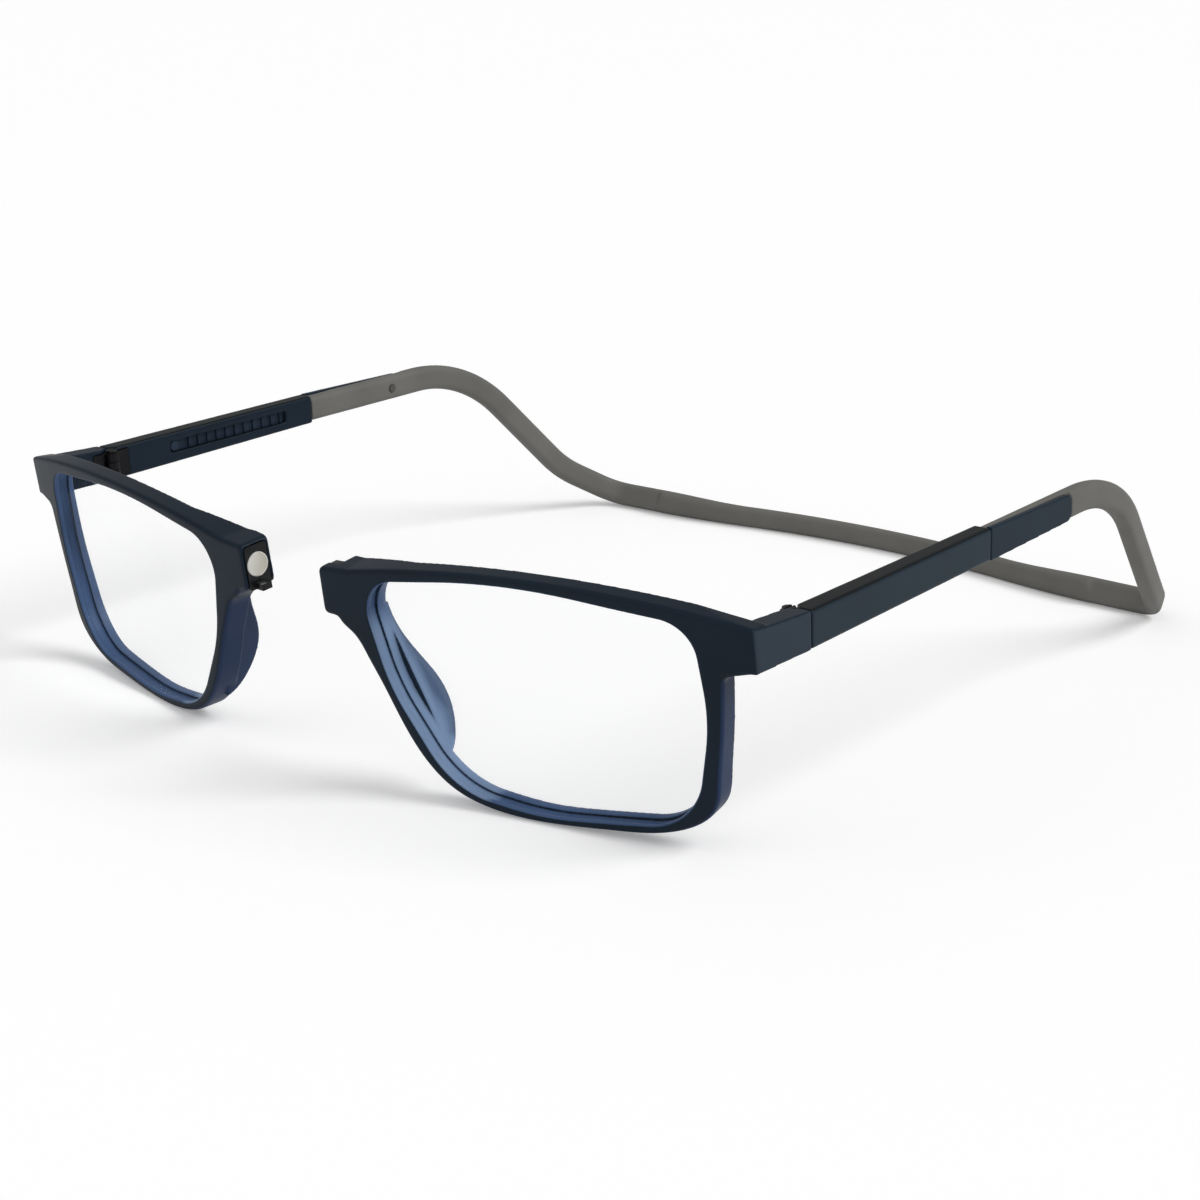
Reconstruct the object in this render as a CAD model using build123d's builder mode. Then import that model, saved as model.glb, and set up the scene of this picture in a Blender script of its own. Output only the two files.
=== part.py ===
from build123d import *
from math import asin, cos, degrees, hypot, radians, sin, tan
import os

os.makedirs("parts", exist_ok=True)

# Reading glasses that part at the nose and clip together with two disc magnets.
# They look towards -Y and lie on Z = 0, in millimetres. The left half is laid out clipped
# shut, and every plane is then turned out about the flex line at the back of the headband
# to the open rest pose. The right half is its mirror image.

# Front: one rim, measured along its chord from the bridge face to the outer corner
rim_width = 68.0
rim_height = 36.2
rim_bow = 2.0
rim_depth = 3.9
nose_depth = 4.6
outer_depth = 4.3
rim_tilt = 7.2
rear_lean = 8.6
wrap_angle = 7.9
end_height = 6.2
end_rise = 0.9
bridge_height = 7.1
bridge_depth = 4.9
bridge_taper = 21.0
edge_round = 0.5
front_round = 0.6
corner_round = 0.9
shoulder_round = 1.2

# Lens opening and lens: the walls of the rim around the opening give its width and height
lens_inset = 8.7
side_wall = 7.5
lens_rise = 1.3
brow_wall = 1.5
lens_thickness = 1.5
groove_depth = 0.6
front_lip = 0.9
opening_edge_round = 0.3

# Moulded nose pad
pad_length = 23.7
pad_reach = 2.9
pad_thickness = 1.7
pad_splay = 10.0

# Magnets and their holders
magnet_diameter = 3.7
magnet_length = 2.0
magnet_rise = 3.65
magnet_stand = 0.08
holder_wall = 0.5
holder_length = 2.6
tongue_reach = 1.5
tongue_depth = 1.7
tongue_height = 1.0
holder_round = 0.5
step_length = 2.5
step_drop = 0.9
step_start = 2.2

# Temple tube, with the end piece of the rim in front of its hinge seam
end_length = 12.8
temple_length = 43.7
temple_thickness = 3.5
tail_thickness = 3.0
seam_height = 5.4
tail_height = 4.9
temple_drop = 0.65
temple_splay = 1.3
temple_pitch = 1.1

# Hinge
barrel_diameter = 2.4
barrel_height = 4.2
barrel_inset = 0.2
barrel_relief = 0.15
screw_diameter = 1.2
screw_head = 1.9
screw_head_height = 0.45
driver_slot = 0.35
leaf_thickness = 0.7
leaf_length = 3.5

# Slider rail, its stop peg and the slot in the temple
rail_height = 2.5
rail_thickness = 1.2
slot_start = 12.3
slot_wall = 5.9
slot_height = 2.0
peg_diameter = 1.7
notch_pitch = 2.0
notch_depth = 0.25
notch_start_share = 1.5

# Slider cap and pin
cap_length = 22.6
cap_thickness = 0.95
cap_height = 4.05
cap_drop = 0.45
cap_round = 1.4
pin_diameter = 1.3
pin_inset = 3.4

# Headband
band_height = 4.4
band_thickness = 2.8
band_round = 1.1
back_height = 3.8
back_thickness = 2.8
flex_span = 74.0
back_bow = 4.2
corner_span = 120.8
corner_advance = 0.8
knee_spread = 4.5
knee_advance = 11.1
knee_height = 8.6
arm_bend = 38.0
arm_lift = 0.1
bend_run = 34.13
bend_radius = 26.0
knee_radius = 22.0
corner_radius = 5.0
end_run = 4.0

# Fits
running_fit = 0.05
seam_gap = 0.12
closed_gap = 0.4
open_gap = 15.8
body_gap = 0.25
overrun = 1.0

# How far the bowed, tilted front reaches before the foot of its bridge face
front_reach = 5.77

# Rim outline, as shares of the rim's width and height from the foot of the bridge face
top_shares = [(0.0, 0.902), (0.08, 0.912), (0.5, 1.0), (1.0, 0.916)]
foot_shares = [
    (0.9305, 0.655),
    (0.922, 0.467),
    (0.911, 0.308),
    (0.897, 0.182),
    (0.806, 0.062),
    (0.667, 0.022),
    (0.483, 0.0),
    (0.37, 0.016),
    (0.29, 0.066),
    (0.2, 0.235),
    (0.134, 0.471),
    (0.107, 0.563),
    (0.077, 0.645),
    (0.048, 0.686),
]
shoulder_share = 0.932
nose_corner_share = 0.03

# Lens opening: a rounded outline, its corners as shares of the opening's width and height
opening_shares = [
    (-0.027, 0.908),
    (0.451, 1.022),
    (0.978, 0.942),
    (1.008, 0.547),
    (0.95, 0.062),
    (0.496, -0.008),
    (0.22, 0.034),
    (0.047, 0.45),
]
# How much of its shorter side each corner's round takes
round_shares = [0.3932, 0.4592, 0.34, 0.3398, 0.4331, 0.3479, 0.4372, 0.2628]

# Nose pad outline, as shares of its length and of its reach behind the middle of the rim
pad_shares = [
    (0.05, 0.345),
    (0.156, 0.74),
    (0.283, 0.966),
    (0.409, 1.0),
    (0.557, 0.845),
    (0.705, 0.62),
    (0.83, 0.5),
    (1.0, 0.55),
]
# Where the pad's line starts and where it points to, as shares of the lens opening
pad_foot_share = (0.158, 0.102)
pad_head_share = (-0.029, 0.7515)
# How much of the rim's depth is left at its top, where the bridge tapers into it
taper_share = 0.62

# Sizes that follow from the ones above
lens_width = rim_width - lens_inset - side_wall
lens_height = rim_height - lens_rise - brow_wall
slot_length = temple_length - slot_start - slot_wall
knee_span = corner_span + 2 * knee_spread
bridge_foot_height = rim_height * top_shares[0][1] - bridge_height
magnet_height = bridge_foot_height + magnet_rise
wrap = radians(wrap_angle)
tilt = radians(rim_tilt)
splay = radians(temple_splay)
pitch = radians(temple_pitch)

# Depths along Y, clipped shut: front to hinge seam, and front to flex line
corner_height = rim_height * top_shares[-1][1] * cos(tilt)
temple_top = corner_height + rim_bow * sin(tilt) - temple_drop
corner_forward = (temple_top - rim_bow * sin(tilt)) * sin(tilt) / cos(tilt)
seam_run = rim_width * sin(wrap) - corner_forward * cos(wrap) + end_length * cos(splay)
flex_run = seam_run + (temple_length + arm_bend) * cos(splay) * cos(pitch) + bend_run
overall_depth = front_reach + flex_run + back_bow + back_thickness / 2

# Rest pose: how far the left half is turned out about its flex line
flex_x = flex_span / 2
flex_y = overall_depth / 2 - back_bow - back_thickness / 2
front_y = flex_y - flex_run
flex_lever = flex_run + magnet_height * sin(tilt)
rest_turn = degrees(asin((open_gap - closed_gap) / 2 / flex_lever))


def opened(plane):
    """A plane of the clipped left half, turned out to the rest pose."""
    flex_line = Location((flex_x, flex_y, 0))
    turn = flex_line * Location((0, 0, 0), (0, 0, rest_turn)) * flex_line.inverse()
    return Plane(turn * plane.location)


def mirrored(part):
    """The right-hand copy of a left-hand piece."""
    with BuildPart() as copy:
        mirror(part, about=Plane.YZ)
    return copy.part


def save(part, name):
    """Label a finished piece and write it."""
    part.label = name
    export_step(part, f"parts/{name}.step")


# Far enough to push the outline through the bowed rim
rim_through = 3 * rim_bow + rim_depth + bridge_depth + 2 * overrun
bridge_angle = 30.0

# Planes of the front: rim_front faces forward and its Y runs up the rim,
# rim_plan and rear_plan look along the rim's height and their Y runs backward
front_start = Vector(-overrun / 2, front_y, rim_bow * sin(tilt))
chord = Vector(cos(wrap), sin(wrap), 0)
rim_forward = Vector(sin(wrap) * cos(tilt), -cos(wrap) * cos(tilt), -sin(tilt))
rim_front = opened(Plane(origin=front_start, x_dir=chord, z_dir=rim_forward))
rim_plan = Plane(origin=rim_front.origin, x_dir=rim_front.x_dir, z_dir=rim_front.y_dir)
rear_tilt = radians(rear_lean)
rear_up = Vector(sin(wrap) * sin(rear_tilt), -cos(wrap) * sin(rear_tilt), cos(rear_tilt))
rear_plan = opened(Plane(origin=front_start, x_dir=chord, z_dir=rear_up))
bow_radius = (rim_width**2 / 4 + rim_bow**2) / (2 * rim_bow)
bow_centre = (rim_width / 2, bow_radius - rim_bow)

# The rear surface is a bow through its own three depths: nose, middle and outer end
rear_half = hypot(rim_width, outer_depth - nose_depth) / 2
rear_sag = (nose_depth + outer_depth) / 2 + rim_bow - rim_depth
rear_radius = (rear_half**2 + rear_sag**2) / (2 * rear_sag)
rear_centre = (
    rim_width / 2 + (nose_depth - outer_depth) / (2 * rear_half) * (rear_radius - rear_sag),
    (nose_depth + outer_depth) / 2 + rim_width / (2 * rear_half) * (rear_radius - rear_sag),
)

# The bridge face is the mirror plane, less half the gap, when the glasses are clipped shut.
# Its X runs back through the rim, its Y up the rim and its normal into the left half.
bridge_origin = Vector(closed_gap / 2, front_start.Y, front_start.Z)
bridge_back = Vector(0, cos(tilt), sin(tilt))
bridge_face = opened(Plane(origin=bridge_origin, x_dir=bridge_back, z_dir=(1, 0, 0)))

# Temple planes: X runs back along the temple, Y inward to the head, Z up; origin at the
# hinge seam's outer top edge
corner_x = front_start.X + rim_width * cos(wrap) + corner_forward * sin(wrap)
seam_origin = Vector(corner_x + end_length * sin(splay), front_y + seam_run, temple_top)
along = Vector(sin(splay) * cos(pitch), cos(splay) * cos(pitch), sin(pitch))
temple_up = Vector(-sin(splay) * sin(pitch), -cos(splay) * sin(pitch), cos(pitch))
temple = opened(Plane(origin=seam_origin, x_dir=along, z_dir=temple_up))
temple_side = Plane(origin=temple.origin, x_dir=temple.x_dir, z_dir=-temple.y_dir)


def rim_points(shares):
    """Points of the rim outline from their shares."""
    return [(rim_width * across, rim_height * up) for across, up in shares]


def opening_point(share):
    """A point of the rim's front plane from its shares of the lens opening."""
    return Vector(lens_inset + lens_width * share[0], lens_rise + lens_height * share[1])


def opening_face(grow):
    """The lens opening on the rim's front plane, grown all round."""
    corners = [opening_point(share) for share in opening_shares]
    rounds = []
    for index, share in enumerate(round_shares):
        before = corners[index - 1] - corners[index]
        after = corners[(index + 1) % len(corners)] - corners[index]
        side = min(before.length, after.length)
        rounds.append(share * side * tan(radians(before.get_angle(after)) / 2))
    with BuildSketch(rim_front.offset(rim_bow + overrun)) as opening:
        with BuildLine():
            FilletPolyline(*corners, radius=rounds, close=True)
        make_face()
        if grow:
            offset(amount=grow)
    return opening.sketch


def bowed_sheet(face, front, back):
    """A face pushed back through the rim and kept between two bowed surfaces, whose
    depths count backward from the front surface."""
    with BuildPart() as sheet:
        extrude(face, amount=-rim_through)
        with BuildSketch(rim_plan.offset(-rim_depth)):
            with Locations(bow_centre):
                Circle(bow_radius - front)
                Circle(bow_radius - back, mode=Mode.SUBTRACT)
        extrude(amount=rim_height + 2 * rim_depth, mode=Mode.INTERSECT)
    return sheet.part


def on_front(edge):
    """Whether an edge lies in the bowed front surface of the rim."""
    points = [rim_plan.to_local_coords(edge @ share) for share in (0, 0.5, 1)]
    return all(
        abs(hypot(point.X - bow_centre[0], point.Y - bow_centre[1]) - bow_radius) < running_fit / 2
        for point in points
    )


def on_bridge_corner(edge):
    """Whether an edge lies in the bridge face and runs from front to back."""
    flat = all(abs(bridge_face.to_local_coords(edge @ share).Z) < running_fit for share in (0, 1))
    return flat and abs((edge % 0).dot(bridge_face.x_dir)) > cos(radians(bridge_angle))


# Rim blank: the outline between the bowed front and the bowed rear, which leans further,
# with the bridge block behind its nasal end, the lens opening cut and its edges rounded
with BuildSketch(rim_front.offset(rim_bow + overrun)) as outline:
    top = rim_points(top_shares)
    foot = rim_points(foot_shares)
    end_foot = (rim_width, top[-1][1] - end_height)
    shoulder = (rim_width * shoulder_share, end_foot[1] - edge_round * 2)
    bridge_foot = (0, bridge_foot_height)
    nose_corner = (rim_width * nose_corner_share, bridge_foot[1])
    with BuildLine():
        Line(top[0], top[1])
        ThreePointArc(top[1], top[2], top[3])
        Polyline(top[3], end_foot, shoulder)
        Spline(shoulder, *foot, nose_corner, tangents=((0, -1), (-1, 0)))
        Line(nose_corner, bridge_foot)
        Line(bridge_foot, top[0])
    make_face()
    fillet(outline.vertices().sort_by_distance(shoulder)[0], shoulder_round)

# Bridge block: the nasal end is deeper than the rim and tapers into it
taper_front = bow_centre[1] - (bow_radius**2 - (rim_width / 2 - bridge_taper) ** 2) ** 0.5
with BuildPart() as bridge_block:
    with BuildSketch(rim_plan.offset(bridge_foot[1])):
        with BuildLine():
            Polyline(
                (0, rim_depth / 2),
                (0, bridge_depth),
                (bridge_height / 2, bridge_depth),
                (bridge_taper, taper_front + rim_depth * taper_share),
                (bridge_taper, taper_front + rim_depth / 4),
                close=True,
            )
        make_face()
    extrude(amount=rim_height)
    extrude(outline.sketch, amount=-rim_through, mode=Mode.INTERSECT)

with BuildPart() as rim_blank:
    extrude(outline.sketch, amount=-rim_through)
    with BuildSketch(rim_plan.offset(-rim_depth)):
        with Locations(bow_centre):
            Circle(bow_radius)
    extrude(amount=rim_height + 2 * rim_depth, mode=Mode.INTERSECT)
    with BuildSketch(rear_plan.offset(-rim_depth)):
        with Locations(rear_centre):
            Circle(rear_radius)
    extrude(amount=rim_height + 2 * rim_depth, mode=Mode.SUBTRACT)
    add(bridge_block.part)
    split(bisect_by=bridge_face, keep=Keep.TOP)
    fillet(rim_blank.edges().filter_by(on_bridge_corner), corner_round)
    fillet(rim_blank.edges().filter_by(on_front), front_round)
    extrude(opening_face(0), amount=-rim_through, mode=Mode.SUBTRACT)
    fillet(rim_blank.edges(Select.LAST).filter_by(on_front), opening_edge_round)

# End piece: the rim's outer end, turned back along the temple as far as the hinge seam
with BuildPart() as end_piece:
    with BuildSketch(temple_side) as end_side:
        with BuildLine():
            Polyline(
                (-seam_gap / 2, 0),
                (-end_length - overrun * 2, end_rise),
                (-end_length - overrun * 2, end_rise - end_height),
                (-seam_gap / 2, -seam_height),
                close=True,
            )
        make_face()
    extrude(amount=-temple_thickness)
    split(bisect_by=rim_front, keep=Keep.BOTTOM)

# Nose pad: a wing behind the nasal side of the rim, splayed outward to the face
pad_foot = opening_point(pad_foot_share)
pad_run = (opening_point(pad_head_share) - pad_foot).normalized()
pad_up = rim_front.x_dir * pad_run.X + rim_front.y_dir * pad_run.Y
pad_origin = rim_front.from_local_coords((pad_foot.X, pad_foot.Y, -rim_depth / 2))
pad_square = Plane(origin=pad_origin, x_dir=pad_up, z_dir=rim_front.z_dir)
pad_back = (-rim_front.z_dir) * cos(radians(pad_splay)) - pad_square.y_dir * sin(radians(pad_splay))
pad_plane = Plane(origin=pad_origin, x_dir=pad_up, z_dir=pad_up.cross(pad_back))
pad_crest = rim_depth / 2 + pad_reach
with BuildPart() as nose_pad:
    with BuildSketch(pad_plane):
        pad_line = [(pad_length * along_it, pad_crest * back) for along_it, back in pad_shares]
        with BuildLine():
            Polyline(pad_line[-1], (pad_length, -rim_depth / 4), (0, -rim_depth / 4))
            Spline((0, -rim_depth / 4), *pad_line)
        make_face()
    extrude(amount=pad_thickness / 2, both=True)

# Hinge: its line stands just inside the seam, so the front folds in behind the temple.
# X runs back along the temple, Y inward, Z up the barrel.
barrel_radius = barrel_diameter / 2
relief_radius = barrel_radius + barrel_relief
knuckle = barrel_height / 3
hinge_foot = (0, temple_thickness + barrel_inset, -(seam_height + barrel_height) / 2)
hinge = Plane(
    origin=temple.from_local_coords(hinge_foot), x_dir=temple.x_dir, z_dir=temple.z_dir
)
leaf_y = -barrel_inset - leaf_thickness / 2


def leaf_blank(way):
    """A leaf lying flush in the inner face with a full-height barrel; way is its side."""
    with BuildPart() as leaf:
        with BuildSketch(hinge):
            Circle(barrel_radius)
            with Locations((way * leaf_length / 2, leaf_y)):
                Rectangle(leaf_length, leaf_thickness)
        extrude(amount=barrel_height)
        with BuildSketch(hinge):
            Circle(screw_diameter / 2 + running_fit)
        extrude(amount=barrel_height, mode=Mode.SUBTRACT)
    return leaf.part


with BuildPart() as left_front_leaf:
    add(leaf_blank(-1))
    with BuildSketch(hinge.offset(knuckle - running_fit)):
        Circle(relief_radius)
    extrude(amount=knuckle + 2 * running_fit, mode=Mode.SUBTRACT)

with BuildPart() as left_temple_leaf:
    add(leaf_blank(1))
    with BuildSketch(hinge, hinge.offset(2 * knuckle - running_fit)):
        Circle(relief_radius)
    extrude(amount=knuckle + running_fit, mode=Mode.SUBTRACT)

with BuildPart() as left_hinge_screw:
    with BuildSketch(hinge):
        Circle(screw_diameter / 2)
    extrude(amount=barrel_height)
    with BuildSketch(hinge.offset(barrel_height)):
        Circle(screw_head / 2)
    extrude(amount=screw_head_height)
    with BuildSketch(hinge.offset(barrel_height + screw_head_height)):
        Rectangle(screw_head + overrun, driver_slot)
    extrude(amount=-screw_head_height / 2, mode=Mode.SUBTRACT)

# What the hinge takes out of the end piece and the temple
with BuildPart() as hinge_room:
    with BuildSketch(hinge.offset(-running_fit)):
        Circle(relief_radius)
    extrude(amount=barrel_height + seam_height / 2)
    with BuildSketch(hinge.offset(-running_fit)):
        with Locations((0, leaf_y + overrun / 2)):
            Rectangle(2 * (leaf_length + running_fit), leaf_thickness + overrun + 2 * running_fit)
    extrude(amount=barrel_height + 2 * running_fit)

# Magnet holder: a block let into the bridge face, with the disc magnet in its middle
holder_size = (bridge_depth - 2 * holder_wall, bridge_height - holder_wall)
bridge_middle = (bridge_depth / 2, bridge_foot[1] + holder_size[1] / 2)
magnet_middle = (bridge_depth / 2, magnet_height)
tongue_middle = (bridge_depth / 2, bridge_foot[1] + tongue_height / 2)
with BuildPart() as holder:
    with BuildSketch(bridge_face):
        with Locations(bridge_middle):
            RectangleRounded(*holder_size, holder_round)
    extrude(amount=holder_length)
    with BuildSketch(bridge_face):
        with Locations(magnet_middle):
            Circle(magnet_diameter / 2 + running_fit)
    extrude(amount=magnet_length + running_fit, mode=Mode.SUBTRACT)

with BuildPart() as left_magnet_holder:
    add(holder.part)
    with BuildSketch(bridge_face):
        with Locations(tongue_middle):
            Rectangle(tongue_depth + 2 * body_gap, tongue_height + 2 * body_gap)
    extrude(amount=tongue_reach + body_gap, mode=Mode.SUBTRACT)

with BuildPart() as tongued_holder:
    add(holder.part)
    with BuildSketch(bridge_face.offset(overrun / 2)):
        with Locations(tongue_middle):
            Rectangle(tongue_depth, tongue_height)
    extrude(amount=-tongue_reach - overrun / 2)

with BuildPart() as left_magnet:
    with BuildSketch(bridge_face.offset(-magnet_stand)):
        with Locations(magnet_middle):
            Circle(magnet_diameter / 2)
    extrude(amount=magnet_length + magnet_stand)

# Rim: blank, end piece and nose pad as one moulding, then everything let into it. Its outer
# top corner is planed off level with the end piece.
brow = ThreePointArc(top[1], top[2], top[3])
brow_end = brow % 1
brow_way = rim_front.x_dir * brow_end.X + rim_front.y_dir * brow_end.Y
end_way_back = temple.x_dir * end_length - temple.z_dir * end_rise
corner_top = rim_front.from_local_coords((rim_width, top[3][1], 0))
corner_plane = Plane(
    origin=corner_top + temple.z_dir * running_fit, z_dir=brow_way.cross(end_way_back)
)
with BuildPart() as rim:
    add(end_piece.part)
    add(nose_pad.part)
    add(bowed_sheet(opening_face(0), -rim_depth, rim_depth), mode=Mode.SUBTRACT)
    add(rim_blank.part)
    split(bisect_by=corner_plane, keep=Keep.BOTTOM)
    add(
        bowed_sheet(
            opening_face(groove_depth),
            front_lip - running_fit,
            front_lip + lens_thickness + running_fit,
        ),
        mode=Mode.SUBTRACT,
    )
    add(hinge_room.part, mode=Mode.SUBTRACT)
    with BuildSketch(bridge_face):
        with Locations(bridge_middle):
            RectangleRounded(
                holder_size[0] + 2 * running_fit,
                holder_size[1] + 2 * running_fit,
                holder_round + running_fit,
            )
    extrude(amount=holder_length + running_fit, mode=Mode.SUBTRACT)

with BuildPart() as left_rim:
    add(rim.part)
    with BuildSketch(bridge_face):
        with Locations((step_start + bridge_depth / 2, top[0][1])):
            Rectangle(bridge_depth, 2 * step_drop)
    extrude(amount=step_length, mode=Mode.SUBTRACT)

with BuildPart() as left_lens:
    add(
        bowed_sheet(
            opening_face(groove_depth - running_fit), front_lip, front_lip + lens_thickness
        )
    )

# Temple tube: a tapering box, open behind for the rail and slotted on its inner side
rail_y = cap_thickness + running_fit + rail_thickness / 2
rail_z = -tail_height / 2
peg_x = slot_start + body_gap + peg_diameter / 2
rail_start = peg_x - peg_diameter
rail_end = temple_length + cap_length - pin_inset + pin_diameter
pin_x = temple_length + cap_length - pin_inset


def across_temple(x):
    """A plane across the temple at x; its X runs inward, its Y up, its normal back."""
    return Plane(
        origin=temple.from_local_coords((x, 0, 0)), x_dir=temple.y_dir, z_dir=temple.x_dir
    )


def through_temple(y):
    """A plane along the temple at the depth y; its X runs forward, its Y up, its normal in."""
    return Plane(
        origin=temple.from_local_coords((0, y, 0)), x_dir=-temple.x_dir, z_dir=temple.y_dir
    )


with BuildPart() as left_temple:
    with BuildSketch(temple):
        with BuildLine():
            Polyline(
                (seam_gap / 2, 0),
                (temple_length, 0),
                (temple_length, tail_thickness),
                (seam_gap / 2, temple_thickness),
                close=True,
            )
        make_face()
    extrude(amount=-seam_height)
    with BuildSketch(temple_side):
        with BuildLine():
            Polyline(
                (seam_gap / 2, -seam_height),
                (temple_length, -tail_height),
                (temple_length, -seam_height - overrun),
                (seam_gap / 2, -seam_height - overrun),
                close=True,
            )
        make_face()
    extrude(amount=-temple_thickness, mode=Mode.SUBTRACT)
    fillet(left_temple.edges().filter_by(lambda e: e.length > temple_length - seam_height), edge_round)
    with BuildSketch(across_temple(rail_start - body_gap)):
        with Locations((rail_y, rail_z)):
            Rectangle(rail_thickness + 2 * running_fit, rail_height + 2 * running_fit)
    extrude(amount=temple_length, mode=Mode.SUBTRACT)
    with BuildSketch(through_temple(rail_y)):
        with Locations((-slot_start - slot_length / 2, rail_z)):
            RectangleRounded(slot_length, slot_height, slot_height / 4)
    extrude(amount=temple_thickness, mode=Mode.SUBTRACT)
    add(hinge_room.part, mode=Mode.SUBTRACT)

# Slider rail: a flat bar with click notches on its inner face
with BuildPart() as left_rail:
    with BuildSketch(across_temple(rail_start)):
        with Locations((rail_y, rail_z)):
            Rectangle(rail_thickness, rail_height)
    extrude(amount=rail_end - rail_start)
    notch_count = int((temple_length - peg_x) / notch_pitch) - 1
    with BuildSketch(temple.offset(rail_z)):
        for index in range(notch_count):
            notch_x = peg_x + (index + notch_start_share) * notch_pitch
            with Locations((notch_x, rail_y + rail_thickness / 2)):
                Rectangle(notch_pitch / 2, 2 * notch_depth)
    extrude(amount=rail_height, both=True, mode=Mode.SUBTRACT)
    with BuildSketch(through_temple(rail_y)):
        with Locations((-peg_x, rail_z)):
            Circle(peg_diameter / 2)
    extrude(amount=rail_thickness, mode=Mode.SUBTRACT)
    with BuildSketch(through_temple(0)):
        with Locations((-pin_x, rail_z)):
            Circle(pin_diameter / 2)
    extrude(amount=temple_thickness, mode=Mode.SUBTRACT)

with BuildPart() as left_stop_peg:
    with BuildSketch(through_temple(rail_y)):
        with Locations((-peg_x, rail_z)):
            Circle(peg_diameter / 2)
    extrude(amount=tail_thickness - rail_y)

# Slider cap: the cover over the headband's front end, level with the temple's outer face
cap_start = temple_length + seam_gap
with BuildPart() as left_cap:
    with BuildSketch(temple_side) as cap_side:
        with BuildLine():
            Polyline(
                (cap_start, 0),
                (cap_start + cap_length, -cap_drop),
                (cap_start + cap_length, -cap_drop - cap_height),
                (cap_start, -tail_height),
                close=True,
            )
        make_face()
        fillet(cap_side.vertices().group_by(Axis.X)[-1], cap_round)
    extrude(amount=-cap_thickness)
    with BuildSketch(through_temple(cap_thickness / 2)):
        with Locations((-pin_x, rail_z)):
            Circle(pin_diameter / 2)
    extrude(amount=cap_thickness, mode=Mode.SUBTRACT)

with BuildPart() as left_cap_pin:
    with BuildSketch(through_temple(cap_thickness / 2)):
        with Locations((-pin_x, rail_z)):
            Circle(pin_diameter / 2)
    extrude(amount=tail_thickness - cap_thickness / 2 + running_fit)

# Headband arm: straight behind the cap, down to the table and in to the flex line
arm_start = temple.from_local_coords((cap_start, tail_thickness / 2, rail_z))
arm_peak = temple.from_local_coords(
    (temple_length + arm_bend, tail_thickness / 2, rail_z + arm_lift)
)
arm_knee = Vector(knee_span / 2, flex_y - knee_advance, knee_height)
arm_corner = Vector(corner_span / 2, flex_y - corner_advance, band_height / 2)
flex_middle = Vector(flex_x, flex_y, band_height / 2)
end_way = (flex_middle - arm_corner).normalized()
arm_end = flex_middle - end_way * (end_run / 2)
flex_line = Plane(origin=(flex_x, flex_y, 0), x_dir=end_way, z_dir=(0, 0, 1))
with BuildPart() as left_arm:
    with BuildLine():
        FilletPolyline(
            arm_start,
            arm_peak,
            arm_knee,
            arm_corner,
            arm_end,
            radius=[bend_radius, knee_radius, corner_radius],
        )
    with BuildSketch(Plane(origin=arm_start, x_dir=temple.y_dir, z_dir=temple.x_dir)):
        RectangleRounded(band_thickness, band_height, band_round)
    sweep()
    with BuildSketch(flex_line):
        Circle(back_thickness / 2)
        with Locations((-end_run / 2, 0)):
            Rectangle(end_run, back_thickness)
    extrude(amount=back_height)
    # room for the cap, the rail behind it and the pin
    with BuildSketch(temple_side.offset(overrun)):
        with Locations((cap_start + cap_length / 2, rail_z)):
            Rectangle(cap_length + 2 * seam_gap, 2 * band_height)
    extrude(amount=-cap_thickness - running_fit - overrun, mode=Mode.SUBTRACT)
    with BuildSketch(across_temple(temple_length)):
        with Locations((rail_y, rail_z)):
            Rectangle(rail_thickness + 2 * running_fit, rail_height + 2 * running_fit)
    extrude(amount=rail_end - temple_length + running_fit, mode=Mode.SUBTRACT)
    with BuildSketch(through_temple(0)):
        with Locations((-pin_x, rail_z)):
            Circle(pin_diameter / 2)
    extrude(amount=2 * temple_thickness, mode=Mode.SUBTRACT)

# Headband back: a shallow arc across the nape, hollowed at its ends around the arms
with BuildPart() as headband_back:
    with BuildLine() as back_line:
        ThreePointArc(
            (-flex_x, flex_y, back_height / 2),
            (0, flex_y + back_bow, back_height / 2),
            (flex_x, flex_y, back_height / 2),
        )
    with BuildSketch(Plane(origin=back_line.line @ 0, x_dir=(0, 0, 1), z_dir=back_line.line % 0)):
        RectangleRounded(back_height, back_thickness, band_round)
    sweep()
    with BuildSketch():
        with Locations((-flex_x, flex_y), (flex_x, flex_y)):
            Circle(back_thickness / 2 + body_gap)
    extrude(amount=back_height, mode=Mode.SUBTRACT)

pairs = [
    ("lens", left_lens),
    ("magnet", left_magnet),
    ("front_hinge_leaf", left_front_leaf),
    ("temple_hinge_leaf", left_temple_leaf),
    ("hinge_screw", left_hinge_screw),
    ("temple", left_temple),
    ("slider_rail", left_rail),
    ("stop_peg", left_stop_peg),
    ("slider_cap", left_cap),
    ("cap_pin", left_cap_pin),
    ("headband_arm", left_arm),
]
for name, piece in pairs:
    right_copy = mirrored(piece.part)
    save(piece.part, f"left_{name}")
    save(right_copy, f"right_{name}")
save(left_rim.part, "left_rim")
save(mirrored(rim.part), "right_rim")
save(left_magnet_holder.part, "left_magnet_holder")
save(mirrored(tongued_holder.part), "right_magnet_holder")
save(headband_back.part, "headband_back")
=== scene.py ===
import math

import bmesh
import bpy
import numpy as np
from mathutils import Matrix, Vector


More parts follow.
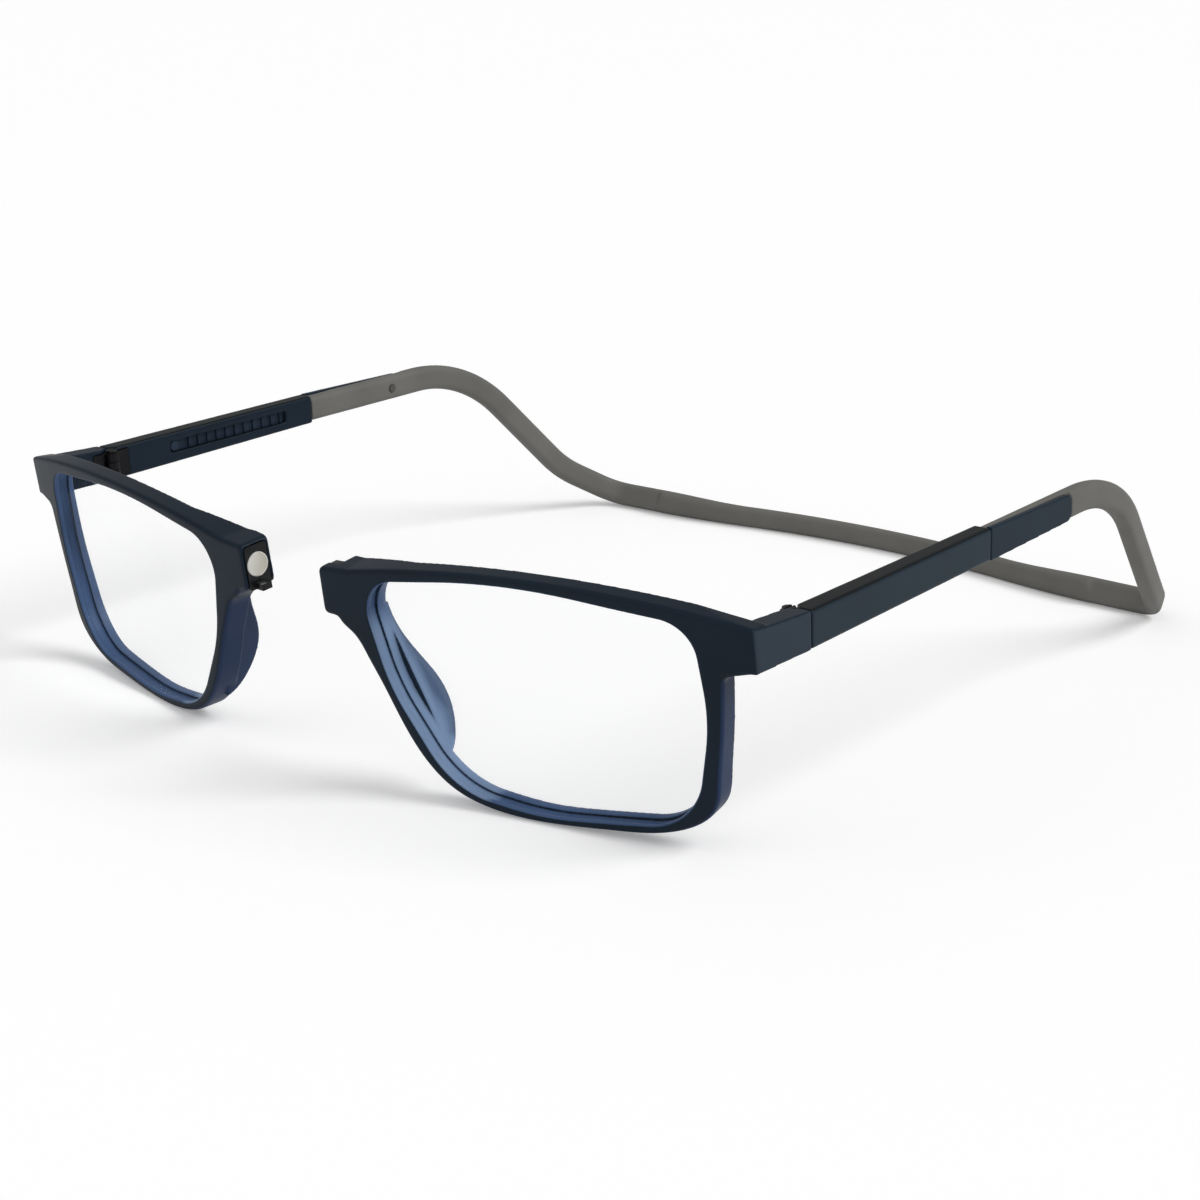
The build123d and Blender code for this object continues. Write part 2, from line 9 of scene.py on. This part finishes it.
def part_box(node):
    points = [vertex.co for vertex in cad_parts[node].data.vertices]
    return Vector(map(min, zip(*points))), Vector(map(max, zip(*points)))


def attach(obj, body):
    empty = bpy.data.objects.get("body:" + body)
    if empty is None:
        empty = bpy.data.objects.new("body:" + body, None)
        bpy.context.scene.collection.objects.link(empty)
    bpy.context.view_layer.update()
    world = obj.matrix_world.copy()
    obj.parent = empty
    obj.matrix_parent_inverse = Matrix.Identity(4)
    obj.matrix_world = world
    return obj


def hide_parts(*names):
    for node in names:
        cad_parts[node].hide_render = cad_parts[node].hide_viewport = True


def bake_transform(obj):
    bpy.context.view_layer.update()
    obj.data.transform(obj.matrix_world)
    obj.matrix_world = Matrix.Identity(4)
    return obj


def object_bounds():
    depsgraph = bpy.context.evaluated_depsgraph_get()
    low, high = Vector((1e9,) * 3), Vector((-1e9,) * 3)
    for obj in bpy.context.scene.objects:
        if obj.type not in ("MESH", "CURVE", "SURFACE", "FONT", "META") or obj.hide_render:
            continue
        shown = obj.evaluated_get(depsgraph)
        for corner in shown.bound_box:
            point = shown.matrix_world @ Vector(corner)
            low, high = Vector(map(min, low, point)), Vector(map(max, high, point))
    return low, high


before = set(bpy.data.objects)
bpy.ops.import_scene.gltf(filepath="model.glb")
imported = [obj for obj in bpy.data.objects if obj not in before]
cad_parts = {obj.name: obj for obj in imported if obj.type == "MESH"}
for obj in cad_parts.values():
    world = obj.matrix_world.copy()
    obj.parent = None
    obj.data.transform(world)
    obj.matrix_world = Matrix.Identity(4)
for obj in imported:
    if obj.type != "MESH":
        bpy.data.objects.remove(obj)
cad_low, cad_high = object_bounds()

# ---- Rims
# Each rim is one moulding with its bridge block, nose pad and outer end piece. It is satin
# charcoal outside. The wall around the lens and the nose pad show the deep translucent navy of
# the plastic; beside the nose the wall carries a painted highlight in pale navy. All edges are
# softly rounded, as a mould leaves them.

MM = 0.001
sides = (("left", 1), ("right", -1))
rim_grid = 0.12 * MM
rim_softening = 26
rim_thinning = 0.42
charcoal = (0.0075, 0.0155, 0.0270, 1)
# Painted light: a lighter charcoal for the end piece faces turned sideways, as if lit from the
# side
lit_side_charcoal = (0.0220, 0.0370, 0.0530, 1)
body_navy = (0.0160, 0.0330, 0.0820, 1)
wall_navy = (0.0600, 0.1050, 0.2100, 1)
# Painted highlight: a pale navy laid on the lens wall beside the nose, where a highlight runs
# along it
wall_highlight_navy = (0.1700, 0.2500, 0.3900, 1)
satin = 0.36
# Which way the left rim faces, and how fast its front falls back on the way outwards
front_way = (0.191, -0.974, -0.125)
front_fall = 0.06
# Where the colours change: depth behind the front, run outwards from the nose, height
pad_depth = (4.4 * MM, 5.6 * MM)
side_depth = (1 * MM, 3 * MM)
nose_reach = (24 * MM, 26 * MM)
end_reach = (58 * MM, 62 * MM)
bridge_height = (24 * MM, 28 * MM)
# How straight a face has to look towards the lens, away from it or sideways to take a colour
wall_facing = (0.3, 0.65)
outside_facing = (0.3, 0.75)
side_facing = (0.8, 0.95)
# How much of the painted wall highlight is taken off on the nose pad
pad_highlight_cut = 0.65


def placed(name, data):
    """A new object with its data, in the scene."""
    piece = bpy.data.objects.new(name, data)
    bpy.context.scene.collection.objects.link(piece)
    return piece


def copied(node, name):
    """A new piece with the shape of a CAD node, its loose triangles joined."""
    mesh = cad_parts[node].data.copy()
    mesh.name = name
    mesh.materials.clear()
    shape = bmesh.new()
    shape.from_mesh(mesh)
    bmesh.ops.remove_doubles(shape, verts=shape.verts, dist=0.0005 * MM)
    shape.to_mesh(mesh)
    shape.free()
    return placed(name, mesh)


def settled(piece):
    """Applies the modifiers of a piece to its mesh."""
    graph = bpy.context.evaluated_depsgraph_get()
    mesh = bpy.data.meshes.new_from_object(piece.evaluated_get(graph))
    piece.modifiers.clear()
    piece.data = mesh


def softened(piece, grid, rounds, thinning=1.0):
    """Rebuilds a piece on an even grid, rounds its edges and keeps a share of its faces."""
    remesh = piece.modifiers.new("grid", "REMESH")
    remesh.mode = "VOXEL"
    remesh.voxel_size = grid
    remesh.use_smooth_shade = True
    smooth = piece.modifiers.new("edges", "SMOOTH")
    smooth.factor = 0.5
    smooth.iterations = rounds
    if thinning < 1:
        thin = piece.modifiers.new("faces", "DECIMATE")
        thin.ratio = thinning
    settled(piece)
    piece.data.polygons.foreach_set("use_smooth", [True] * len(piece.data.polygons))
    return piece


def node_in(tree, kind, **values):
    """A node with its plain settings and its unlinked inputs set."""
    made = tree.nodes.new(kind)
    for key, value in values.items():
        if hasattr(made, key):
            setattr(made, key, value)
        else:
            made.inputs[key.replace("_", " ")].default_value = value
    return made


def moulded_grain_group():
    """Shader group: the fine grain, roughness change and handling marks of moulded plastic."""
    group = bpy.data.node_groups.new("moulded grain", "ShaderNodeTree")
    for name, way, kind in (
        ("Coordinates", "INPUT", "Vector"), ("Grain Size", "INPUT", "Float"),
        ("Roughness", "INPUT", "Float"), ("Spread", "INPUT", "Float"),
        ("Height", "OUTPUT", "Float"), ("Roughness", "OUTPUT", "Float"),
        ("Marks", "OUTPUT", "Float"),
    ):
        group.interface.new_socket(name, in_out=way, socket_type="NodeSocket" + kind)
    entry = node_in(group, "NodeGroupInput")
    outcome = node_in(group, "NodeGroupOutput")
    grain = node_in(group, "ShaderNodeTexNoise", Detail=3.0)
    marks = node_in(group, "ShaderNodeTexNoise", Scale=90.0, Detail=4.0)
    centred = node_in(group, "ShaderNodeMath", operation="SUBTRACT")
    centred.inputs[1].default_value = 0.5
    spread = node_in(group, "ShaderNodeMath", operation="MULTIPLY_ADD")
    link = group.links.new
    link(entry.outputs["Coordinates"], grain.inputs["Vector"])
    link(entry.outputs["Coordinates"], marks.inputs["Vector"])
    link(entry.outputs["Grain Size"], grain.inputs["Scale"])
    link(marks.outputs["Fac"], centred.inputs[0])
    link(centred.outputs[0], spread.inputs[0])
    link(entry.outputs["Spread"], spread.inputs[1])
    link(entry.outputs["Roughness"], spread.inputs[2])
    link(grain.outputs["Fac"], outcome.inputs["Height"])
    link(spread.outputs[0], outcome.inputs["Roughness"])
    link(marks.outputs["Fac"], outcome.inputs["Marks"])
    return group


moulded_grain = moulded_grain_group()


def moulded(name, colour, roughness, *layers, metallic=0.0, grain=2500.0, bump=0.004, gloss=0.11):
    """A moulded or plated material; each layer lays a colour where its painted mask says so."""
    made = bpy.data.materials.new(name)
    made.use_nodes = True
    tree = made.node_tree
    link = tree.links.new
    shader = tree.nodes["Principled BSDF"]
    shader.inputs["Metallic"].default_value = metallic
    shader.inputs["Specular IOR Level"].default_value = gloss
    place = node_in(tree, "ShaderNodeTexCoord")
    surface = node_in(
        tree, "ShaderNodeGroup", node_tree=moulded_grain,
        Grain_Size=grain, Roughness=roughness, Spread=0.1,
    )
    relief = node_in(tree, "ShaderNodeBump", Strength=0.35, Distance=bump * MM)
    ramp = node_in(tree, "ShaderNodeMapRange", From_Min=0.3, From_Max=0.7, To_Min=0.9, To_Max=1.1)
    tint = node_in(tree, "ShaderNodeMix", data_type="RGBA", blend_type="MULTIPLY")
    tint.inputs[0].default_value = 1.0
    tint.inputs[6].default_value = colour
    under = None
    for mask, layer_colour in layers:
        painted = node_in(tree, "ShaderNodeAttribute", attribute_name=mask)
        over = node_in(tree, "ShaderNodeMix", data_type="RGBA")
        over.inputs[6].default_value = colour
        over.inputs[7].default_value = layer_colour
        link(painted.outputs["Fac"], over.inputs[0])
        if under:
            link(under.outputs[2], over.inputs[6])
        under = over
    if under:
        link(under.outputs[2], tint.inputs[6])
    link(place.outputs["Object"], surface.inputs["Coordinates"])
    link(surface.outputs["Height"], relief.inputs["Height"])
    link(surface.outputs["Marks"], ramp.inputs["Value"])
    link(ramp.outputs["Result"], tint.inputs[7])
    link(tint.outputs[2], shader.inputs["Base Color"])
    link(surface.outputs["Roughness"], shader.inputs["Roughness"])
    link(relief.outputs["Normal"], shader.inputs["Normal"])
    return made


def surface_of(piece):
    """The points and the outward directions of a piece, as rows."""
    mesh = piece.data
    count = len(mesh.vertices)
    points = np.empty(count * 3)
    mesh.vertices.foreach_get("co", points)
    ways = np.empty(count * 3)
    mesh.vertex_normals.foreach_get("vector", ways)
    return points.reshape(-1, 3), ways.reshape(-1, 3)


def eased(values, low, high):
    """0 below low, 1 above high and smooth between."""
    share = np.clip((values - low) / (high - low), 0, 1)
    return share * share * (3 - 2 * share)


def paint(piece, mask, values):
    """Stores a mask on a piece."""
    layer = piece.data.attributes.new(mask, "FLOAT", "POINT")
    layer.data.foreach_set("value", values.astype(np.float32))


rim_plastic = moulded(
    "rim plastic", charcoal, satin,
    ("side", lit_side_charcoal), ("navy", body_navy), ("wall", wall_navy), ("wall_highlight", wall_highlight_navy),
)

for side, turn in sides:
    rim = copied(f"{side}_rim", f"{side}_rim_moulding")
    softened(rim, rim_grid, rim_softening, rim_thinning)
    points, ways = surface_of(rim)
    forward = np.array(front_way) * (turn, 1, 1)
    lens_low, lens_high = (np.array(corner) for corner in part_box(f"{side}_lens"))
    to_middle = (lens_low + lens_high) / 2 - points
    to_middle -= np.outer(to_middle @ forward, forward)
    to_middle /= np.linalg.norm(to_middle, axis=1)[:, None]
    inward = (ways * to_middle).sum(axis=1)
    from_nose = np.abs(points[:, 0]) - np.abs(points[:, 0]).min()
    depth = (points @ forward).max() - points @ forward
    by_nose = 1 - eased(from_nose, *nose_reach)
    before_end = 1 - eased(from_nose, *end_reach)
    below_bridge = 1 - eased(points[:, 2], *bridge_height)
    is_pad = eased(depth - from_nose * front_fall, *pad_depth) * by_nose * below_bridge
    is_wall = eased(inward, *wall_facing)
    is_outside = eased(-inward, *outside_facing) * below_bridge
    is_side = eased(ways[:, 0] * turn, *side_facing) * (1 - below_bridge)
    paint(rim, "wall", is_wall * before_end * (1 - is_pad))
    paint(rim, "navy", np.maximum(is_outside, is_pad))
    # Painted highlight on the lens wall beside the nose, weaker on the pad
    paint(rim, "wall_highlight", is_wall * by_nose * below_bridge * (1 - pad_highlight_cut * is_pad))
    # Painted light: the outward side faces of the end pieces, above the bridge, are painted
    # lighter
    paint(rim, "side", is_side * eased(depth, *side_depth))
    rim.data.materials.append(rim_plastic)
    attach(rim, f"{side}_front")
    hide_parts(f"{side}_rim")

# ---- Lenses
# Each lens is a clear bowed sheet of plastic that sits in the groove of its rim. It has a
# hard coating and is almost invisible against the white surface.

lens_tint = (0.97, 0.985, 1, 1)
air_tint = (0.998, 0.999, 1, 1)
lens_bending = 1.1
lens_polish = 0.03
unseen_share = 0.97
sharp_from = 30

lens_clear = bpy.data.materials.new("lens plastic")
lens_clear.use_nodes = True
tree = lens_clear.node_tree
shader = tree.nodes["Principled BSDF"]
shader.inputs["Base Color"].default_value = lens_tint
shader.inputs["Roughness"].default_value = lens_polish
shader.inputs["IOR"].default_value = lens_bending
shader.inputs["Transmission Weight"].default_value = 1.0
see_through = node_in(tree, "ShaderNodeBsdfTransparent", Color=air_tint)
light_path = node_in(tree, "ShaderNodeLightPath")
clear_share = node_in(tree, "ShaderNodeMath", operation="MAXIMUM")
clear_share.inputs[1].default_value = unseen_share
choice = node_in(tree, "ShaderNodeMixShader")
place = node_in(tree, "ShaderNodeTexCoord")
wave = node_in(tree, "ShaderNodeTexNoise", Scale=40.0)
ripple = node_in(tree, "ShaderNodeBump", Strength=0.05, Distance=0.001 * MM)
tree.links.new(place.outputs["Object"], wave.inputs["Vector"])
tree.links.new(wave.outputs["Fac"], ripple.inputs["Height"])
tree.links.new(ripple.outputs["Normal"], shader.inputs["Normal"])
tree.links.new(light_path.outputs["Is Shadow Ray"], clear_share.inputs[0])
tree.links.new(clear_share.outputs[0], choice.inputs["Fac"])
tree.links.new(shader.outputs[0], choice.inputs[1])
tree.links.new(see_through.outputs[0], choice.inputs[2])
tree.links.new(choice.outputs[0], tree.nodes["Material Output"].inputs["Surface"])


def smooth_but_edges(piece):
    """Smooth shading, with an edge kept sharp where its faces meet at a clear angle."""
    shape = bmesh.new()
    shape.from_mesh(piece.data)
    for face in shape.faces:
        face.smooth = True
    for edge in shape.edges:
        if len(edge.link_faces) == 2:
            edge.smooth = edge.calc_face_angle(0) < math.radians(sharp_from)
    shape.to_mesh(piece.data)
    shape.free()
    return piece


for side, turn in sides:
    lens = smooth_but_edges(copied(f"{side}_lens", f"{side}_lens_sheet"))
    lens.data.materials.append(lens_clear)
    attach(lens, f"{side}_front")
    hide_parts(f"{side}_lens")

# ---- Magnets and their holders
# A nickel-plated disc magnet is pressed into a glossy black block, which is let into each
# bridge face. The right block carries a small locating tongue and the left one its socket.

# The magnet's faces are a plain nickel tone, with a painted highlight in bright nickel on a ring
# round their rims
nickel_face = (0.56, 0.53, 0.42, 1)
nickel_highlight = (0.93, 0.92, 0.89, 1)
glossy_black = (0.003, 0.0035, 0.0045, 1)
magnet_edge = 0.07 * MM
holder_edge = 0.08 * MM
ring_inset = 0.16 * MM
ring_reach = (1.5 * MM, 1.75 * MM)
nickel = moulded(
    "nickel plate", nickel_face, satin, ("ring", nickel_highlight), metallic=1.0, bump=0.002
)
holder_black = moulded("holder black", glossy_black, 0.28, gloss=0.3)


def bevelled(piece, width, segments):
    """Dissolves flat triangles into faces and rounds the sharp edges."""
    shape = bmesh.new()
    shape.from_mesh(piece.data)
    bmesh.ops.dissolve_limit(
        shape, angle_limit=math.radians(1), verts=shape.verts, edges=shape.edges
    )
    shape.to_mesh(piece.data)
    shape.free()
    bevel = piece.modifiers.new("edges", "BEVEL")
    bevel.width = width
    bevel.segments = segments
    bevel.limit_method = "ANGLE"
    bevel.angle_limit = math.radians(40)
    bevel.use_clamp_overlap = True
    settled(piece)
    return smooth_but_edges(piece)


for side, turn in sides:
    magnet = bevelled(copied(f"{side}_magnet", f"{side}_disc_magnet"), magnet_edge, 2)
    shape = bmesh.new()
    shape.from_mesh(magnet.data)
    ends = sorted(shape.faces, key=lambda face: face.calc_area())[-2:]
    bmesh.ops.inset_individual(shape, faces=ends, thickness=ring_inset)
    shape.to_mesh(magnet.data)
    shape.free()
    points, ways = surface_of(magnet)
    off_axis = np.linalg.norm((points - points.mean(axis=0))[:, 1:], axis=1)
    # Painted highlight: a bright ring round the rim of each end face
    paint(magnet, "ring", eased(off_axis, *ring_reach))
    magnet.data.materials.append(nickel)
    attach(magnet, f"{side}_front")
    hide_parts(f"{side}_magnet")
    holder = bevelled(copied(f"{side}_magnet_holder", f"{side}_holder_block"), holder_edge, 3)
    holder.data.materials.append(holder_black)
    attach(holder, f"{side}_front")
    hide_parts(f"{side}_magnet_holder")

# ---- Hinges
# Two small steel leaves per side lie flush in the inner faces of the end piece and
# the temple, and turn on one screw. They show their CAD shape, coloured near black as painted
# shade of the hinge recess.

# Painted shade: the leaves are near black so that they read as the shaded recess of the hinge
hinge_shade_black = (0.018, 0.018, 0.020, 1)
hinge_steel = moulded("steel in hinge shade", hinge_shade_black, 0.42, metallic=0.85, bump=0.002)


def clad(node, material):
    """Gives a CAD node its material."""
    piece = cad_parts[node]
    piece.data.materials.clear()
    piece.data.materials.append(material)


for side, turn in sides:
    for node in ("front_hinge_leaf", "temple_hinge_leaf", "hinge_screw"):
        clad(f"{side}_{node}", hinge_steel)

# ---- Temples
# Each temple is a tube of charcoal plastic, open behind, with a slot on its inner face in
# which the stop peg of the slider rail runs. Its top is painted nearly black as painted shade,
# standing in for the dark reflection it shows.

temple_grid = 0.16 * MM
temple_softening = 8
temple_charcoal = (0.0160, 0.0290, 0.0420, 1)
# Painted shade: nearly black on faces turned upwards, for the dark reflection on the temple tops
top_shade_black = (0.0025, 0.0045, 0.0055, 1)
top_facing = (0.35, 0.85)
inner_facing = (0.5, 0.9)
temple_plastic = moulded(
    "temple plastic", temple_charcoal, satin, ("dark", top_shade_black), ("inner", charcoal)
)
for side, turn in sides:
    temple = copied(f"{side}_temple", f"{side}_temple_tube")
    softened(temple, temple_grid, temple_softening)
    points, ways = surface_of(temple)
    # Painted shade on the upward faces of the temple
    paint(temple, "dark", eased(ways[:, 2], *top_facing))
    paint(temple, "inner", eased(-ways[:, 0] * turn, *inner_facing))
    temple.data.materials.append(temple_plastic)
    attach(temple, f"{side}_temple_tube")
    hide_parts(f"{side}_temple")

# ---- Slider rails, pegs and pins
# A flat notched bar runs inside each temple. Its peg stops it at the ends of the slot, and
# a short pin holds it to the headband and the cap. They show their CAD shape.

# Painted light: the rail and peg navy is lifted to make up for the shade they lie in inside the
# slot
rail_navy = (0.018, 0.031, 0.052, 1)
dull_grey = (0.085, 0.083, 0.077, 1)
matt = 0.5
rail_plastic = moulded("rail plastic", rail_navy, matt)
pin_grey = moulded("pin grey", dull_grey, matt)
for side, turn in sides:
    clad(f"{side}_slider_rail", rail_plastic)
    clad(f"{side}_stop_peg", rail_plastic)
    clad(f"{side}_cap_pin", pin_grey)

# ---- Slider caps
# A thin dark cover over the front end of each headband arm, level with the temple's outer
# face and rounded at its rear end. Its face is left plain.

cap_grid = 0.12 * MM
cap_softening = 3
cap_charcoal = (0.0090, 0.0200, 0.0330, 1)
cap_plastic = moulded("cap plastic", cap_charcoal, 0.38)
for side, turn in sides:
    cap = softened(copied(f"{side}_slider_cap", f"{side}_cap_cover"), cap_grid, cap_softening)
    cap.data.materials.append(cap_plastic)
    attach(cap, f"{side}_band_arm")
    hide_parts(f"{side}_slider_cap")

# ---- Headband
# One springy moulded band in warm grey runs from cap to cap behind the head. It is made
# whole and parted in the middle of the back, and each half bends where it leaves the back.

band_grid = 0.2 * MM
edge_softening = 6
band_softening = 34
flex_x, flex_y = 37 * MM, 66.99 * MM
# Width and height of the band and its rounding, at the back and on the arms
back_size = (2.8 * MM, 3.8 * MM)
arm_size = (3.8 * MM, 4.4 * MM)
back_corner, arm_corner = 1.1 * MM, 1.6 * MM
# The curve of the back, and the line of an arm just behind the bend
back_sagitta = 4.2 * MM
back_radius = (flex_x**2 + back_sagitta**2) / (2 * back_sagitta)
arm_slope = -0.8 / 23.4
# The lofted run between them, and how far it goes into each
join_start, join_end, join_lap = 28 * MM, 48 * MM, 1.5 * MM
join_rings = 25
corner_steps = 5
# The extra smoothing fades in over this run behind the caps
cap_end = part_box("left_slider_cap")[1].y
soft_reach = (cap_end + 2 * MM, cap_end + 8 * MM)
warm_grey = (0.150, 0.147, 0.137, 1)
band_grey = moulded("headband grey", warm_grey, matt, bump=0.006, grain=1800.0)


def band_section(middle, way, size, corner):
    """The rounded outline of the band across its run, bottom on the table."""
    across = Vector((-way.y, way.x, 0)).normalized()
    points = []
    for quarter, (turn_x, turn_z) in enumerate(((1, 1), (-1, 1), (-1, -1), (1, -1))):
        for step in range(corner_steps + 1):
            angle = math.radians(90 * (quarter + step / corner_steps))
            out = turn_x * (size[0] / 2 - corner) + corner * math.cos(angle)
            up = size[1] / 2 + turn_z * (size[1] / 2 - corner) + corner * math.sin(angle)
            points.append(middle + across * out + Vector((0, 0, up)))
    return points


def band_join(shape, turn):
    """The run where the back of the band goes over into an arm, lofted as one smooth piece."""
    start_y = flex_y + back_sagitta - back_radius + math.sqrt(back_radius**2 - join_start**2)
    start_slope = -join_start / math.sqrt(back_radius**2 - join_start**2)
    end_y = flex_y + arm_slope * (join_end - flex_x)
    span = join_end - join_start
    rings = []
    for index in range(join_rings):
        t = index / (join_rings - 1)
        x = join_start + span * t
        y = (
            (2 * t**3 - 3 * t**2 + 1) * start_y + (t**3 - 2 * t**2 + t) * span * start_slope
            + (3 * t**2 - 2 * t**3) * end_y + (t**3 - t**2) * span * arm_slope
        )
        slope = start_slope + (arm_slope - start_slope) * t
        ease = t * t * (3 - 2 * t)
        size = [a + (b - a) * ease for a, b in zip(back_size, arm_size)]
        corner = back_corner + (arm_corner - back_corner) * ease
        ring = band_section(Vector((x, y, 0)), Vector((1, slope, 0)), size, corner)
        rings.append([shape.verts.new((p.x * turn, p.y, p.z)) for p in ring])
    made = [shape.faces.new(rings[0]), shape.faces.new(rings[-1])]
    for one, two in zip(rings, rings[1:]):
        for index in range(len(one)):
            after = (index + 1) % len(one)
            made.append(shape.faces.new((one[index], one[after], two[after], two[index])))
    bmesh.ops.recalc_face_normals(shape, faces=made)


def clipped(shape, x, way):
    """Takes off what lies beyond x on the given side, closes the cut and returns its edges."""
    everything = shape.verts[:] + shape.edges[:] + shape.faces[:]
    cut = bmesh.ops.bisect_plane(
        shape, geom=everything, plane_co=(x, 0, 0), plane_no=(way, 0, 0), clear_outer=True,
    )
    edges = [item for item in cut["geom_cut"] if isinstance(item, bmesh.types.BMEdge)]
    bmesh.ops.holes_fill(shape, edges=edges)
    return edges


whole = bmesh.new()
for node, cuts in (
    ("left_headband_arm", ((join_end - join_lap, -1),)),
    ("right_headband_arm", ((join_lap - join_end, 1),)),
    ("headband_back", ((join_start + join_lap, 1), (-join_start - join_lap, -1))),
):
    part = copied(node, node + "_shape")
    shape = bmesh.new()
    shape.from_mesh(part.data)
    for x, way in cuts:
        clipped(shape, x, way)
    shape.to_mesh(part.data)
    shape.free()
    whole.from_mesh(part.data)
    bpy.data.objects.remove(part)
for side, turn in sides:
    band_join(whole, turn)
band_mesh = bpy.data.meshes.new("band")
whole.to_mesh(band_mesh)
whole.free()
band = softened(placed("band", band_mesh), band_grid, edge_softening)
points, ways = surface_of(band)
behind_caps = eased(points[:, 1], *soft_reach)
group = band.vertex_groups.new(name="behind the caps")
for index in np.flatnonzero(behind_caps > 0):
    group.add([int(index)], float(behind_caps[index]), "REPLACE")
smooth = band.modifiers.new("soft band", "SMOOTH")
smooth.factor = 0.5
smooth.iterations = band_softening
smooth.vertex_group = group.name
settled(band)

for side, turn in sides:
    shape = bmesh.new()
    shape.from_mesh(band.data)
    for edge in clipped(shape, 0, -turn):
        edge.smooth = False
    half_mesh = bpy.data.meshes.new(f"{side}_band_half")
    shape.to_mesh(half_mesh)
    shape.free()
    half = placed(f"{side}_band_half", half_mesh)
    half.data.materials.append(band_grey)
    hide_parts(f"{side}_headband_arm", "headband_back")
    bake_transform(half)
bpy.data.objects.remove(band)

# ---- White surface, light and camera
# The glasses lie on a seamless white surface under two wide soft lamps. The camera looks
# from the wearer's front left, a little above the table.

paper_white = (0.92, 0.92, 0.92, 1)
paper_glow = 0.21
table_reach = 6.0
table_drop = 0.02 * MM
plain_white = (1, 1, 1, 1)
room_light = 0.38
# Way towards each lamp, its width in degrees and its strength
lamps = (("key", (0.90, 0.42, 1.0), 34, 1.65), ("fill", (-0.1, -0.8, 0.7), 80, 0.5))
camera_turns = (42.111, 17.443, -1.472)
camera_distance = 452.1 * MM
camera_aim = Vector((-24.325, 21.316, -1.972)) * MM
sensor_width = 36
focal_share = 2563.0 / 1200


def only_for(tree, output, usual, special, *rays):
    """Sends the special shader to the output for the named rays, and the usual one otherwise."""
    light_path = node_in(tree, "ShaderNodeLightPath")
    share = light_path.outputs[rays[0]]
    for ray in rays[1:]:
        either = node_in(tree, "ShaderNodeMath", operation="MAXIMUM")
        tree.links.new(share, either.inputs[0])
        tree.links.new(light_path.outputs[ray], either.inputs[1])
        share = either.outputs[0]
    seen = node_in(tree, "ShaderNodeMixShader")
    tree.links.new(share, seen.inputs["Fac"])
    tree.links.new(usual.outputs[0], seen.inputs[1])
    tree.links.new(special.outputs[0], seen.inputs[2])
    tree.links.new(seen.outputs[0], tree.nodes[output].inputs["Surface"])


paper = bpy.data.materials.new("white paper")
paper.use_nodes = True
tree = paper.node_tree
shader = tree.nodes["Principled BSDF"]
shader.inputs["Base Color"].default_value = paper_white
shader.inputs["Roughness"].default_value = 0.9
shader.inputs["Specular IOR Level"].default_value = 0.1
glow = node_in(tree, "ShaderNodeEmission", Strength=paper_glow)
both = node_in(tree, "ShaderNodeAddShader")
tree.links.new(shader.outputs[0], both.inputs[0])
tree.links.new(glow.outputs[0], both.inputs[1])
only_for(tree, "Material Output", shader, both, "Is Camera Ray")
table_mesh = bpy.data.meshes.new("table")
table_mesh.from_pydata(
    [(x * table_reach, y * table_reach, 0) for x, y in ((-1, -1), (1, -1), (1, 1), (-1, 1))],
    [], [(0, 1, 2, 3)],
)
table = placed("table", table_mesh)
table.location.z = cad_low.z - table_drop
table.data.materials.append(paper)

world = bpy.data.worlds.new("studio")
world.use_nodes = True
tree = world.node_tree
air = tree.nodes["Background"]
air.inputs["Color"].default_value = plain_white
air.inputs["Strength"].default_value = room_light
bright = node_in(tree, "ShaderNodeBackground", Color=plain_white, Strength=1.0)
only_for(tree, "World Output", air, bright, "Is Camera Ray", "Is Transmission Ray")
bpy.context.scene.world = world

for name, toward, width, strength in lamps:
    lamp = bpy.data.lights.new(name, "SUN")
    lamp.angle = math.radians(width)
    lamp.energy = strength
    stand = placed(name, lamp)
    stand.location = Vector(toward)
    stand.rotation_euler = (-Vector(toward)).to_track_quat("-Z", "Y").to_euler()

azimuth, height, roll = (math.radians(angle) for angle in camera_turns)
back_way = Vector((
    math.sin(azimuth) * math.cos(height), -math.cos(azimuth) * math.cos(height), math.sin(height)
))
right_way = Vector((math.cos(azimuth), math.sin(azimuth), 0))
up_way = back_way.cross(right_way)
turned_right = right_way * math.cos(roll) + up_way * math.sin(roll)
turned_up = up_way * math.cos(roll) - right_way * math.sin(roll)
optics = bpy.data.cameras.new("camera")
optics.sensor_width = sensor_width
optics.lens = focal_share * sensor_width
optics.clip_start = 0.01
camera = placed("camera", optics)
camera.matrix_world = Matrix.Translation(camera_aim + back_way * camera_distance) @ Matrix(
    (turned_right, turned_up, back_way)
).transposed().to_4x4()
bpy.context.scene.camera = camera
bpy.context.scene.view_settings.view_transform = "Standard"
